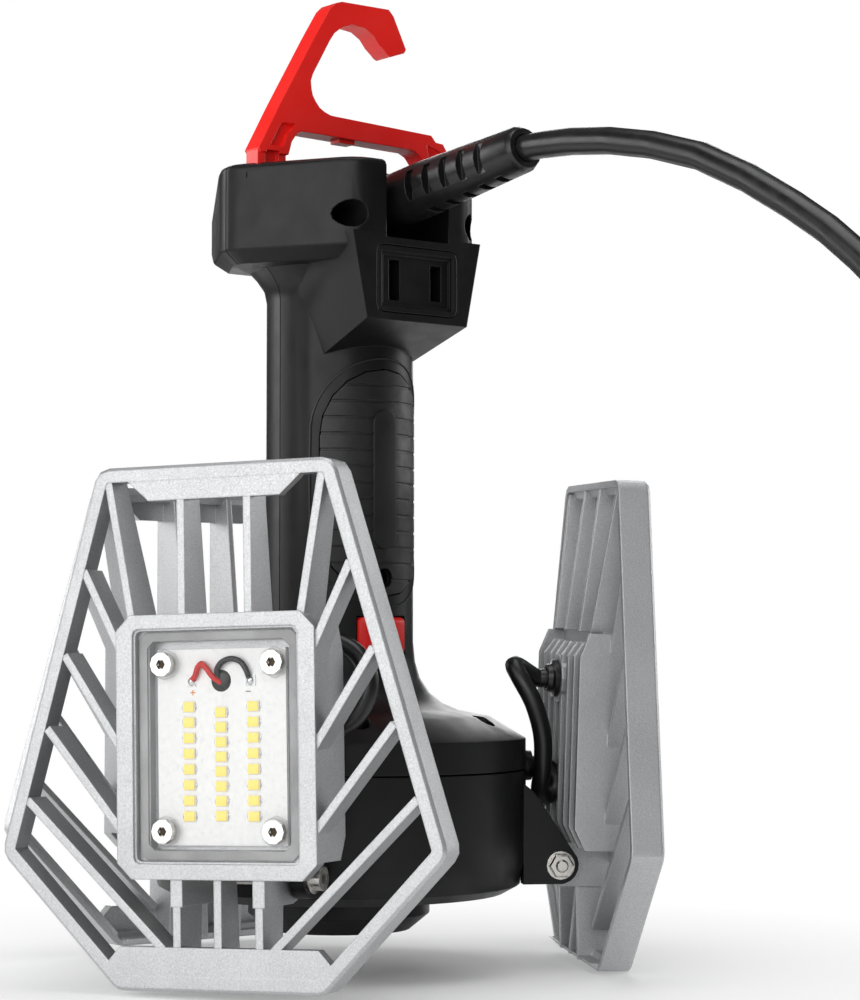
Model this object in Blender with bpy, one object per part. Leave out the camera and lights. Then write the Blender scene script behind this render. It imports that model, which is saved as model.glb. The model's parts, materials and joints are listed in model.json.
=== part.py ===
"""Corded work light: a round hub and handle with three hinged, caged LED heads.

All sizes are in millimetres and are turned into metres when a mesh is made.
+Z is up, -Y is the side with the outlet and the power button. The origin is
the middle of the underside of the round foot.
"""

import math

import bmesh
import bpy
from mathutils import Matrix, Vector

# Hinges: three heads, 120 degrees apart, turning on tangential bolts.
HINGE_R = 52.4
HINGE_Z = 16.5
# azimuth from -Y, then lean, roll and turn within the play of the bracket (degrees)
HEADS = {
    "a": (-60.0, 0.73, -1.30, -1.50),
    "b": (60.0, -1.67, -1.73, 0.42),
    "c": (180.0, 0.0, 0.0, 0.0),
}

# Cage of a head, as (across, up) from the hinge axis, one side.
CAGE_CORNERS = ((29.9, 94.2), (56.0, 6.2), (25.9, -24.5))
CAGE_FRONT = 16.1
CAGE_ROUND = 4.0
RIB_FRONT = 15.95
RIB_WIDE = 1.9
# side ribs run from the lamp box up and out to the cage
SIDE_RIBS = (
    ((23.5, 50.6), (33.6, 70.8)),
    ((23.5, 28.7), (38.9, 51.6)),
    ((23.5, 10.4), (43.6, 34.8)),
    ((13.8, -15.2), (48.9, 18.4)),
)

# Lamp box
BOX_HALF = 25.0
BOX_LOW, BOX_HIGH = 0.5, 60.2
BOX_FRONT = 16.6
FIN_BACK = 1.3
FINS = (-24.2, -17.3, -10.4, -3.5, 3.5, 10.4, 17.3, 24.2)
FIN_WIDE = 1.6
BOARD_BACK, BOARD_FRONT = 11.75, 12.9
SCREW_U = 13.9
SCREW_W = (11.2, 48.9)
SCREW_FOOT = 9.15
LEAD_W = 45.0

# Bracket and bolt
EAR_IN, EAR_OUT = 12.5, 16.0
LUG_MID, LUG_WIDE = 10.3, 3.0
BOLT_R = 1.5
BOLT_HOLE_R = 1.57
GLAND_Z = 39.7

# Hub, handle and top block
PARTING_Z = 39.2
GAP = 0.2
HUB_R = 46.2
HANDLE_R = 18.3
WALL = 2.4
BLOCK_APOTHEM = 31.2
BLOCK_LOW, BLOCK_TOP = 162.0, 186.0
OUTLET_HALF = 12.4
OUTLET_LOW, OUTLET_HIGH = 149.0, 165.4
SLOT_X = 6.35
RECESS_HALF = 9.55
RECESS_Z = 167.2
RECESS_BACK = -15.0
BUTTON_Z = 72.0
GRIP_MID_Z, GRIP_HIGH = 109.2, 55.2
PIN_Y, PIN_Z = -4.8, 182.9
PIN_R = 1.2
NECK_IN, NECK_OUT = 22.0, 30.3
HOOK_FRONT, HOOK_BACK = -7.8, -1.8

# Cords
CORD_R = 3.1
LEAD_R = 2.3
RELIEF_START = (0.0, -11.2, 176.4)
RELIEF_END = (0.0, -71.0, 183.8)
COIL_MID = (74.0, -250.0)
FLOOR_Z = -9.1

# Colour, roughness, metallic and opacity of each material
MATERIALS = {
    "black_plastic": ((0.012, 0.012, 0.013), 0.38, 0.0, 1.0),
    "grip_rubber": ((0.012, 0.012, 0.013), 0.5, 0.0, 1.0),
    "red_plastic": ((0.78, 0.012, 0.01), 0.32, 0.0, 1.0),
    "nickel_steel": ((0.70, 0.68, 0.64), 0.22, 1.0, 1.0),
    "dark_steel": ((0.08, 0.08, 0.08), 0.4, 1.0, 1.0),
    "black_rubber": ((0.012, 0.012, 0.012), 0.42, 0.0, 1.0),
    "brass": ((0.75, 0.60, 0.30), 0.3, 1.0, 1.0),
    "green_board": ((0.02, 0.15, 0.06), 0.5, 0.0, 1.0),
    "cast_aluminium": ((0.58, 0.58, 0.58), 0.5, 0.8, 1.0),
    "white_board": ((0.85, 0.85, 0.84), 0.35, 0.0, 1.0),
    "clear_plastic": ((0.95, 0.96, 0.96), 0.05, 0.0, 0.25),
    "grey_silicone": ((0.40, 0.41, 0.42), 0.5, 0.0, 1.0),
}


# ---------------------------------------------------------------- mesh helpers
def solid(name, verts, faces, frame=None):
    """A closed mesh object from points in millimetres."""
    mesh = bpy.data.meshes.new(name)
    if frame is not None:
        verts = [frame @ Vector(v) for v in verts]
    mesh.from_pydata([[c * 0.001 for c in v] for v in verts], [], faces)
    work = bmesh.new()
    work.from_mesh(mesh)
    bmesh.ops.remove_doubles(work, verts=work.verts, dist=1e-7)
    bmesh.ops.recalc_face_normals(work, faces=work.faces)
    if work.calc_volume(signed=True) < 0:
        bmesh.ops.reverse_faces(work, faces=work.faces)
    work.to_mesh(mesh)
    work.free()
    obj = bpy.data.objects.new(name, mesh)
    bpy.context.collection.objects.link(obj)
    return obj


def loft(name, rings, frame=None, closed=False):
    """Skin a list of rings with equal counts; closed joins the last to the first."""
    count = len(rings[0])
    verts = [p for ring in rings for p in ring]
    faces = []
    spans = len(rings) if closed else len(rings) - 1
    for i in range(spans):
        a, b = i * count, ((i + 1) % len(rings)) * count
        for k in range(count):
            n = (k + 1) % count
            faces.append((a + k, a + n, b + n, b + k))
    if not closed:
        faces.append(tuple(range(count)))
        faces.append(tuple((len(rings) - 1) * count + k for k in range(count)))
    return solid(name, verts, faces, frame)


def extrude(name, outline, low, high, place, frame=None):
    """A prism: place turns (a, b, depth) into x, y, z."""
    rings = [[place(a, b, c) for a, b in outline] for c in (low, high)]
    return loft(name, rings, frame)


def plan(a, b, c):
    return (a, b, c)


def elevation(a, b, c):
    return (a, c, b)


def side_view(a, b, c):
    return (c, a, b)


def head_front(u, w, v):
    return (u, -v, w)


def head_side(v, w, u):
    return (u, -v, w)


def box(name, x, y, z, frame=None):
    outline = [(x[0], y[0]), (x[1], y[0]), (x[1], y[1]), (x[0], y[1])]
    return extrude(name, outline, z[0], z[1], plan, frame)


def hull(name, points):
    work = bmesh.new()
    for p in points:
        work.verts.new([c * 0.001 for c in p])
    out = bmesh.ops.convex_hull(work, input=work.verts)
    loose = [e for e in out["geom_interior"] if isinstance(e, bmesh.types.BMVert)]
    bmesh.ops.delete(work, geom=loose, context="VERTS")
    bmesh.ops.recalc_face_normals(work, faces=work.faces)
    mesh = bpy.data.meshes.new(name)
    work.to_mesh(mesh)
    work.free()
    obj = bpy.data.objects.new(name, mesh)
    bpy.context.collection.objects.link(obj)
    return obj


def lathe(name, profile, sides, frame=None, ring=False):
    """Turn an (r, h) outline about local Z; ring=True for a profile off the axis."""
    verts, rows = [], []
    for r, h in profile:
        if r < 1e-6:
            rows.append([len(verts)] * sides)
            verts.append((0.0, 0.0, h))
            continue
        rows.append(list(range(len(verts), len(verts) + sides)))
        for k in range(sides):
            t = 2 * math.pi * k / sides
            verts.append((r * math.cos(t), r * math.sin(t), h))
    faces = []
    count = len(rows) if ring else len(rows) - 1
    for i in range(count):
        a, b = rows[i], rows[(i + 1) % len(rows)]
        for k in range(sides):
            n = (k + 1) % sides
            face = []
            for v in (a[k], a[n], b[n], b[k]):
                if v not in face:
                    face.append(v)
            if len(face) > 2:
                faces.append(tuple(face))
    if not ring:
        for row in (rows[0], rows[-1]):
            if row[0] != row[1]:
                faces.append(tuple(row))
    return solid(name, verts, faces, frame)


def aim(start, end):
    """A frame at start whose Z points to end."""
    way = Vector(end) - Vector(start)
    turn = way.to_track_quat("Z", "Y").to_matrix().to_4x4()
    return Matrix.Translation(Vector(start)) @ turn


def rod(name, start, end, radius, sides=16, frame=None):
    length = (Vector(end) - Vector(start)).length
    place = aim(start, end)
    if frame is not None:
        place = frame @ place
    return lathe(name, [(0, 0), (radius, 0), (radius, length), (0, length)], sides, place)


def smooth_path(points, steps):
    """Points on a Catmull-Rom curve through the given ones."""
    pts = [Vector(p) for p in points]
    pts = [2 * pts[0] - pts[1]] + pts + [2 * pts[-1] - pts[-2]]
    out = []
    for i in range(1, len(pts) - 2):
        a, b, c, d = pts[i - 1:i + 3]
        for k in range(steps):
            t = k / steps
            out.append(0.5 * (2 * b + (c - a) * t + (2 * a - 5 * b + 4 * c - d) * t * t
                              + (3 * b - a - 3 * c + d) * t ** 3))
    out.append(pts[-2])
    return out


def sweep(name, path, radius, sides, frame=None):
    """A round tube along a path, carried without twist."""
    rings = []
    way = (path[1] - path[0]).normalized()
    up = way.orthogonal().normalized()
    for i, p in enumerate(path):
        a, b = path[max(i - 1, 0)], path[min(i + 1, len(path) - 1)]
        new = (b - a).normalized()
        up = (way.rotation_difference(new) @ up)
        up = (up - new * up.dot(new)).normalized()
        way = new
        side = way.cross(up)
        rings.append([
            p + (up * math.cos(t) + side * math.sin(t)) * radius
            for t in (2 * math.pi * k / sides for k in range(sides))
        ])
    return loft(name, rings, frame)


def combine(target, tools, operation):
    """Apply exact booleans with each tool in turn and delete the tools."""
    for tool in tools:
        mod = target.modifiers.new("join", "BOOLEAN")
        mod.operation = operation
        mod.solver = "EXACT"
        mod.object = tool
        graph = bpy.context.evaluated_depsgraph_get()
        mesh = bpy.data.meshes.new_from_object(target.evaluated_get(graph))
        target.modifiers.clear()
        old = target.data
        target.data = mesh
        bpy.data.meshes.remove(old)
        bpy.data.objects.remove(tool)
        work = bmesh.new()
        work.from_mesh(target.data)
        bmesh.ops.remove_doubles(work, verts=work.verts, dist=2e-6)
        bmesh.ops.dissolve_degenerate(work, edges=work.edges, dist=2e-6)
        work.to_mesh(target.data)
        work.free()
    return target


def add(target, *tools):
    return combine(target, tools, "UNION")


def cut(target, *tools):
    return combine(target, tools, "DIFFERENCE")


def metres(frame):
    return Matrix.Translation(frame.translation * 0.001) @ frame.to_3x3().to_4x4()


def pivot(name, frame):
    """An empty on a joint's axis, for the pieces that move on it."""
    empty = bpy.data.objects.new(name, None)
    bpy.context.collection.objects.link(empty)
    empty.matrix_world = metres(frame)
    return empty


def placed(source, frame, parent=None):
    """A copy of a piece modelled at the origin, set into a frame or under a pivot."""
    obj = bpy.data.objects.new(source.name, source.data.copy())
    bpy.context.collection.objects.link(obj)
    obj.parent = parent
    obj.matrix_basis = metres(frame)
    return obj


def move_origin(obj, point, parent=None):
    """Put an object's origin, or its parent's, at a point of the model."""
    shift = Vector(point) * 0.001
    obj.data.transform(Matrix.Translation(-shift))
    if parent is None:
        obj.location = shift
    else:
        obj.parent = parent


def material(name):
    """A plain Principled material, made once."""
    if name in bpy.data.materials:
        return bpy.data.materials[name]
    colour, roughness, metallic, opacity = MATERIALS[name]
    slot = bpy.data.materials.new(name)
    slot.use_nodes = True
    shader = slot.node_tree.nodes["Principled BSDF"]
    shader.inputs["Base Color"].default_value = (*colour, 1.0)
    shader.inputs["Roughness"].default_value = roughness
    shader.inputs["Metallic"].default_value = metallic
    shader.inputs["Alpha"].default_value = opacity
    return slot


def finish(obj, name, slot):
    obj.name = name
    obj.data.name = name
    obj.data.materials.clear()
    obj.data.materials.append(material(slot))
    return obj


# ------------------------------------------------------------------- outlines
def inset(corners, distance):
    """Move each edge of a convex anticlockwise outline inwards."""
    out = []
    count = len(corners)
    for i in range(count):
        p, q, r = (Vector(corners[(i + k) % count]) for k in (-1, 0, 1))
        a, b = (q - p).normalized(), (r - q).normalized()
        na, nb = Vector((-a.y, a.x)), Vector((-b.y, b.x))
        half = (na + nb).normalized()
        out.append(tuple(q + half * (distance / half.dot(na))))
    return out


def rounded(corners, radius, steps):
    """Round the corners of an anticlockwise outline."""
    out = []
    count = len(corners)
    for i in range(count):
        p, q, r = (Vector(corners[(i + k) % count]) for k in (-1, 0, 1))
        a, b = (p - q).normalized(), (r - q).normalized()
        half = a.angle(b) / 2
        mid = q + (a + b).normalized() * (radius / math.sin(half))
        first = q + a * (radius / math.tan(half)) - mid
        last = q + b * (radius / math.tan(half)) - mid
        turn = first.angle_signed(last)
        for k in range(steps + 1):
            t = turn * k / steps
            c, s = math.cos(-t), math.sin(-t)
            out.append((mid.x + first.x * c - first.y * s, mid.y + first.x * s + first.y * c))
    return out


def rectangle(half, low, high, radius=0.0, steps=2):
    corners = [(-half, low), (half, low), (half, high), (-half, high)]
    return rounded(corners, radius, steps) if radius else corners


def chamfered(half, low, high, size):
    return [
        (-half + size, low), (half - size, low), (half, low + size), (half, high - size),
        (half - size, high), (-half + size, high), (-half, high - size), (-half, low + size),
    ]


def arc(centre, radius, start, end, steps):
    out = []
    for k in range(steps + 1):
        t = math.radians(start + (end - start) * k / steps)
        out.append((centre[0] + radius * math.cos(t), centre[1] + radius * math.sin(t)))
    return out


# ---------------------------------------------------------------------- frames
def head_frame(key, with_lean=True):
    """Local X across, Y inwards, Z up, at the middle of the hinge."""
    azimuth, lean, roll, turn = HEADS[key]
    t = math.radians(azimuth)
    out = Vector((math.sin(t), -math.cos(t), 0.0))
    across = Vector((math.cos(t), math.sin(t), 0.0))
    basis = Matrix((across, -out, Vector((0, 0, 1)))).transposed().to_4x4()
    play = (Matrix.Rotation(-math.radians(lean), 4, "X")
            @ Matrix.Rotation(math.radians(turn), 4, "Z")
            @ Matrix.Rotation(math.radians(roll), 4, "Y"))
    frame = Matrix.Translation(out * HINGE_R + Vector((0, 0, HINGE_Z))) @ basis @ play
    if not with_lean:
        frame = frame @ Matrix.Rotation(math.radians(lean), 4, "X")
    return frame


# ------------------------------------------------------------------- lamp head
def rib(start, end, back_start, back_end, width=RIB_WIDE):
    """A straight rib in the cage, its back edge sloping from one end to the other."""
    a, b = Vector(start), Vector(end)
    side = Vector((-(b - a).y, (b - a).x)).normalized() * width / 2
    rings = []
    for p, back in ((a, back_start), (b, back_end)):
        ring = []
        for q, v in ((p + side, RIB_FRONT), (p - side, RIB_FRONT),
                     (p - side * 0.8, back), (p + side * 0.8, back)):
            ring.append(head_front(q.x, q.y, v))
        rings.append(ring)
    return loft("rib", rings)


def cage_member():
    """The six-sided rim: a front band with a thinner web behind it."""
    right = [(u, w) for u, w in CAGE_CORNERS]
    left = [(-u, w) for u, w in reversed(CAGE_CORNERS)]
    corners = list(reversed(right + left))
    section = ((0.0, 15.4), (0.7, CAGE_FRONT), (3.4, CAGE_FRONT), (3.3, 10.2),
               (1.7, 9.5), (1.6, 8.2), (0.0, 8.2))
    loops = []
    for distance, v in section:
        outline = rounded(inset(corners, distance), max(CAGE_ROUND - distance, 0.5), 2)
        loops.append([head_front(u, w, v) for u, w in outline])
    return loft("cage", loops, closed=True)


def build_casting():
    """One die casting: rim, ribs, finned lamp box and the two hinge lugs."""
    casting = cage_member()
    pieces = []
    bar = [(-22.7, 91.5), (-16.6, 86.2), (16.6, 86.2), (22.7, 91.5), (22.7, 93.0), (-22.7, 93.0)]
    pieces.append(extrude("bar", bar, 13.4, 16.05, head_front))
    foot = [(-24.8, -14.6), (-27.6, -17.6), (-27.2, -20.8), (-24.5, -23.4), (24.5, -23.4),
            (27.2, -20.8), (27.6, -17.6), (24.8, -14.6)]
    pieces.append(extrude("foot", foot, 13.2, 16.05, head_front))
    sill = [(6.2, -22.6), (7.8, -24.1), (14.0, -24.1), (14.0, -22.6)]
    pieces.append(extrude("sill", sill, -24.0, 24.0, head_side))
    for sign in (1, -1):
        for (u0, w0), (u1, w1) in SIDE_RIBS:
            pieces.append(rib((sign * u0, w0), (sign * u1, w1), 8.8, 8.6))
        pieces.append(rib((sign * 8.4, 57.0), (sign * 8.4, 92.6), 4.4, 8.5))
        pieces.append(rib((sign * 20.9, 57.0), (sign * 27.2, 92.0), 4.4, 8.5))
        lug = [(RIB_FRONT, -5.6), (RIB_FRONT, 5.2), (4.2, 5.2)]
        lug += arc((0, 0), 5.0, 80, 260, 8) + [(1.5, -5.6)]
        pieces.append(extrude("lug", lug, sign * LUG_MID - LUG_WIDE / 2,
                              sign * LUG_MID + LUG_WIDE / 2, head_side))
        low = [(RIB_FRONT - 0.1, -5.0), (5.4, -5.0), (6.3, -23.6), (RIB_FRONT - 0.1, -23.6)]
        pieces.append(extrude("rib", low, sign * LUG_MID - 0.95, sign * LUG_MID + 0.95, head_side))
    low = [(RIB_FRONT - 0.1, 5.0), (8.4, 5.0), (6.3, -23.6), (RIB_FRONT - 0.1, -23.6)]
    pieces.append(extrude("rib", low, -0.95, 0.95, head_side))

    lamp = extrude("box", chamfered(BOX_HALF, BOX_LOW, BOX_HIGH, 3.6), 13.0, BOX_FRONT, head_front)
    body = extrude("body", chamfered(BOX_HALF - 0.15, 4.3, 57.0, 1.2), 7.6, 13.4, head_front)
    parts = [body]
    for u in FINS:
        edge = abs(u) > 20
        top, front = (57.0, 13.2) if edge else (54.5, 8.2)
        fin = [(front, 4.4), (4.0, 4.4), (FIN_BACK, 9.6), (FIN_BACK, 51.0), (3.6, top - 0.1),
               (front, top - 0.1)]
        parts.append(extrude("fin", fin, u - FIN_WIDE / 2, u + FIN_WIDE / 2, head_side))
    parts.append(rod("boss", (0, -1.1, LEAD_W), (0, -8.6, LEAD_W), 6.0, 12))
    add(lamp, *parts)
    add(casting, lamp, *pieces)

    tools = [
        extrude("window", rectangle(20.8, 4.0, 57.0, 1.4), 15.9, 18.0, head_front),
        extrude("seat", rectangle(20.3, 4.5, 56.5, 1.2), 14.2, 16.4, head_front),
        extrude("cavity", rectangle(17.6, 6.9, 54.1, 1.6), 11.6, 14.6, head_front),
        rod("wire hole", (0, 1.0, LEAD_W), (0, -12.5, LEAD_W), 2.75, 12),
        rod("bolt hole", (-20, 0, 0), (20, 0, 0), BOLT_HOLE_R),
    ]
    for sign in (1, -1):
        for w in SCREW_W:
            tools.append(rod("tap", (sign * SCREW_U, -12.2, w), (sign * SCREW_U, -8.9, w), 1.75, 8))
    return cut(casting, *tools)


def build_led_board():
    """White circuit board behind the lens, with two raised solder pads."""
    board = extrude("board", rectangle(16.2, 8.0, 52.2), BOARD_BACK, BOARD_FRONT, head_front)
    for sign in (1, -1):
        outline = [(sign * 7.6 - 1.1, 43.8), (sign * 7.6 + 1.1, 43.8),
                   (sign * 7.6 + 1.1, 46.2), (sign * 7.6 - 1.1, 46.2)]
        add(board, extrude("pad", outline, BOARD_FRONT - 0.2, BOARD_FRONT + 0.25, head_front))
    tools = [rod("wire hole", (0, -11.0, LEAD_W), (0, -14.0, LEAD_W), 2.0, 12)]
    for sign in (1, -1):
        for w in SCREW_W:
            tools.append(rod("hole", (sign * SCREW_U, -11, w), (sign * SCREW_U, -14, w), 1.8, 8))
    return cut(board, *tools)


def build_lens():
    """Clear cover with four round bosses that reach down to the board."""
    lens = extrude("lens", rectangle(20.1, 4.7, 56.3, 1.4, 1), 14.75, 15.75, head_front)
    bosses, tools = [], []
    for sign in (1, -1):
        for w in SCREW_W:
            at = sign * SCREW_U
            bosses.append(rod("boss", (at, -13.05, w), (at, -15.3, w), 3.5, 8))
            tools.append(rod("hole", (at, -12.0, w), (at, -17.0, w), 1.75, 8))
            tools.append(rod("seat", (at, -14.3, w), (at, -17.0, w), 3.15, 8))
    add(lens, *bosses)
    return cut(lens, *tools)


def build_gasket():
    """Flat silicone seal between the cover and its seat in the box."""
    loops = []
    for half, low, high, v in ((20.0, 4.8, 56.2, 14.25), (20.0, 4.8, 56.2, 14.65),
                               (17.9, 6.8, 54.2, 14.65), (17.9, 6.8, 54.2, 14.25)):
        loops.append([head_front(u, w, v) for u, w in rectangle(half, low, high, 1.6, 1)])
    return loft("gasket", loops, closed=True)


def build_lens_screw():
    """M3 socket screw, its head at the origin plane and its shank along -v."""
    profile = [(0, 0), (1.45, 0), (1.45, 5.2), (2.75, 5.2), (2.75, 6.7), (0, 6.7)]
    screw = lathe("screw", profile, 10)
    socket = lathe("socket", [(0, 5.6), (1.15, 5.6), (1.15, 7.5), (0, 7.5)], 6)
    return cut(screw, socket)


def build_boot():
    """Stepped rubber boot where the lead enters the back of the lamp box."""
    profile = [(2.75, 0.15), (4.75, 0.15), (4.75, 1.2), (3.7, 1.7), (3.5, 2.9), (2.75, 2.9)]
    # local Z points out of the back of the box
    frame = aim((0, -1.1, LEAD_W), (0, 10.0, LEAD_W))
    return lathe("boot", profile, 16, frame, ring=True)


def build_bolt():
    """Hinge bolt: round washer and socket head on one side, shank to the other."""
    frame = aim((-18.7, 0, 0), (20, 0, 0))
    profile = [(0, 0), (BOLT_R - 0.3, 0), (BOLT_R, 0.5), (BOLT_R, 34.75), (3.5, 34.75),
               (3.5, 35.25), (2.8, 35.3), (2.8, 37.6), (0, 37.6)]
    bolt = lathe("bolt", profile, 16, frame)
    socket = lathe("socket", [(0, 36.0), (1.25, 36.0), (1.25, 39.0), (0, 39.0)], 6, frame)
    return cut(bolt, socket)


def build_nut():
    """Thin hexagon nut standing on its washer, on the far end of the bolt."""
    frame = aim((-16.05, 0, 0), (-20, 0, 0))
    washer = lathe("washer", [(0, 0), (3.5, 0), (3.5, 0.5), (0, 0.5)], 16, frame)
    half = 5.5 / 2 / math.cos(math.pi / 6)
    hexagon = lathe("nut", [(0, 0.3), (half, 0.3), (half, 1.7), (half - 0.45, 2.1), (0, 2.1)],
                    6, frame)
    add(washer, hexagon)
    hole = lathe("hole", [(0, -1), (BOLT_HOLE_R, -1), (BOLT_HOLE_R, 4), (0, 4)], 16, frame)
    return cut(washer, hole)


def build_gland():
    """Grommet that carries the lead through the hub wall; local Z is outwards."""
    profile = [(2.75, 42.9), (3.3, 42.9), (3.3, 46.6), (3.85, 46.6), (3.7, 48.2), (3.25, 48.2),
               (2.75, 46.9)]
    return lathe("gland", profile, 16, ring=True)


# free part of each lead, in the frame of its bracket, from the gland to the boot
LEAD_ROUTES = {
    "a": ((1.2, 1.6, 23.3), (5.5, 1.8, 25.6), (11.5, 2.2, 30.0), (18.5, 3.0, 32.6),
          (25.8, 4.0, 36.4), (28.8, 5.0, 43.2), (25.8, 6.0, 50.2), (18.5, 6.8, 53.8),
          (10.5, 7.2, 53.0), (4.2, 7.2, 49.4)),
    "b": ((0.0, 0.4, 22.7), (-0.1, -1.9, 20.6), (-0.3, -1.6, 17.3), (-1.3, 0.9, 15.6),
          (-3.4, 2.6, 17.3), (-5.6, 2.4, 23.0), (-7.2, 2.8, 31.0), (-7.2, 5.0, 39.0),
          (-5.0, 8.2, 45.6), (-2.2, 8.8, 48.4)),
    "c": ((0.0, 0.4, 22.7), (0.1, -1.9, 20.6), (0.3, -1.6, 17.3), (1.3, 0.9, 15.6),
          (3.4, 2.6, 17.3), (5.6, 2.4, 23.0), (7.2, 2.8, 31.0), (7.2, 5.0, 39.0),
          (5.0, 8.2, 45.6), (2.2, 8.8, 48.4)),
}


def gland_axis(key):
    """Direction and height of the lead's way through the hub wall."""
    azimuth = math.radians(HEADS[key][0])
    return Vector((math.sin(azimuth), -math.cos(azimuth), 0.0)), Vector((0, 0, GLAND_Z))


def build_lead(key):
    """Cable from the hub to the lamp box, straight at both ends."""
    out, height = gland_axis(key)
    bracket, head = head_frame(key, with_lean=False), head_frame(key)
    path = [out * radius + height for radius in (41.0, 44.5, 47.5, 49.6)]
    path += [bracket @ Vector(p) for p in LEAD_ROUTES[key]]
    path += [head @ Vector((0, y, LEAD_W)) for y in (4.4, 2.2, -0.4, -3.2)]
    lead = sweep("lead", smooth_path(path, 2), LEAD_R, 8)
    return finish(lead, "lamp_lead_" + key, "black_rubber")


def build_heads():
    """Model each piece of a head once, then hang three sets on their pivots."""
    still = Matrix.Identity(4)
    on_head = (
        (build_casting(), "head_casting_", "cast_aluminium"),
        (build_led_board(), "led_board_", "white_board"),
        (build_lens(), "lens_", "clear_plastic"),
        (build_gasket(), "lens_gasket_", "grey_silicone"),
        (build_boot(), "lead_boot_", "black_rubber"),
    )
    on_bracket = (
        (build_bolt(), "tilt_bolt_", "nickel_steel"),
        (build_nut(), "tilt_nut_", "nickel_steel"),
    )
    screw, gland = build_lens_screw(), build_gland()
    for key in HEADS:
        head = pivot("head_pivot_" + key, head_frame(key))
        bracket = pivot("bracket_" + key, head_frame(key, with_lean=False))
        for piece, name, slot in on_head:
            finish(placed(piece, still, head), name + key, slot)
        for piece, name, slot in on_bracket:
            finish(placed(piece, still, bracket), name + key, slot)
        seats = [(u, w) for u in (-SCREW_U, SCREW_U) for w in SCREW_W]
        for number, (u, w) in enumerate(seats, 1):
            seat = aim((u, -SCREW_FOOT, w), (u, -20.0, w))
            finish(placed(screw, seat, head), "lens_screw_%s_%d" % (key, number), "nickel_steel")
        out, height = gland_axis(key)
        radial = aim(tuple(height), tuple(out * 60.0 + height))
        finish(placed(gland, radial), "lead_gland_" + key, "black_rubber")
        build_lead(key)
    for piece in [p for p, _, _ in on_head + on_bracket] + [screw, gland]:
        bpy.data.objects.remove(piece)


# ------------------------------------------------------------------------- hub
def build_tub():
    """Lower half of the hub with the three pairs of hinge ears."""
    top = PARTING_Z - GAP
    profile = [(0, 9.0), (40.7, 9.0), (44.6, 11.1), (46.2, 16.8), (HUB_R, top), (HUB_R - WALL, top),
               (HUB_R - WALL, 17.0), (39.6, 11.6), (0, 11.6)]
    tub = lathe("tub", profile, 42)
    ear = [(-9.2, -4.6), (0.6, -4.6)] + arc((0, 0), 4.6, -75, 45, 6) + [(-6.6, 17.9), (-9.2, 20.0)]
    ears, holes = [], []
    for key in HEADS:
        bracket = head_frame(key, with_lean=False)
        for sign in (1, -1):
            low, high = sorted((sign * EAR_IN, sign * EAR_OUT))
            ears.append(extrude("ear", ear, low, high, head_side, bracket))
        holes.append(rod("hole", (-20, 0, 0), (20, 0, 0), BOLT_HOLE_R, 16, bracket))
        holes.append(gland_hole(key))
    add(tub, *ears)
    holes.append(rod("foot hole", (0, 0, 8), (0, 0, 12), 4.2))
    cut(tub, *holes)
    return finish(tub, "base_tub", "black_plastic")


def gland_hole(key):
    out, height = gland_axis(key)
    return rod("gland hole", tuple(out * 38.0 + height), tuple(out * 52.0 + height), 3.5, 12)


def build_foot():
    """Rubber foot with a stem that snaps into the tub."""
    profile = [(0, 0), (17.5, 0), (22.4, 4.0), (22.4, 8.75), (3.9, 8.75), (3.9, 13.4), (0, 13.4)]
    return finish(lathe("foot", profile, 30), "base_foot", "black_plastic")


def hub_profile(step):
    """Outline of the hub cap and handle, step millimetres inside the surface."""
    radius = HANDLE_R - step
    return [(0, 30.0), (HUB_R - step, 30.0), (HUB_R - step, 46.8 - step * 0.6),
            (37.3 - step * 0.5, 52.2 - step), (29.6 - step * 0.7, 53.7 - step),
            (25.6 - step * 0.8, 55.4 - step * 0.8), (22.4 - step * 0.9, 58.0 - step * 0.5),
            (20.0 - step, 61.6), (18.8 - step, 65.6), (radius, 70.5), (radius, 154.6),
            (18.9 - step, 157.6), (20.8 - step, 160.4 + step * 0.6),
            (23.6 - step, 163.4 + step * 0.6), (0, 163.4 + step * 0.6)]


def block_outline(apothem, radius):
    corner = apothem / math.cos(math.pi / 6)
    corners = []
    for k in range(6):
        t = math.radians(60 * k)
        corners.append((corner * math.cos(t), corner * math.sin(t)))
    return rounded(corners, radius, 3)


def block_body(step):
    """The six-sided top block, step millimetres inside the surface."""
    rings = []
    for drop, z in ((3.4, BLOCK_LOW + step), (0.4, BLOCK_LOW + 2.6 + step * 0.5),
                    (0.0, BLOCK_LOW + 3.4 + step * 0.5), (0.0, BLOCK_TOP - 1.6 - step),
                    (0.5, BLOCK_TOP - 0.6 - step), (1.5, BLOCK_TOP - step)):
        outline = block_outline(BLOCK_APOTHEM - step - drop, 8.5 - step - drop * 0.6)
        rings.append([(x, y, z) for x, y in outline])
    body = loft("block", rings)
    roof = [(2.0 - step * 0.3, BLOCK_TOP + 0.4 - step), (60, 163.6 - step), (60, 220), (2.0, 220)]
    under = [(13.0, 150.0), (13.0, BLOCK_LOW - 1.0 + step), (33.0, 171.6 + step), (60, 184.0 + step),
             (60, 150.0)]
    return cut(body, extrude("roof", roof, -60, 60, side_view),
               extrude("under", under, -60, 60, side_view))


def nose_body(step):
    """The forward nose that carries the outlet, step millimetres inside."""
    points = []
    front = -BLOCK_APOTHEM + step
    for sign in (1, -1):
        points += [
            (sign * (19.6 - step), front, 168.0 - step), (sign * (15.3 - step), front, 147.3 + step),
            (sign * (19.6 - step), -1.0, 168.0 - step), (sign * (13.8 - step), -11.0, 140.0 + step),
            (sign * (13.8 - step), -1.0, 140.0 + step),
        ]
    return hull("nose", points)


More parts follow.
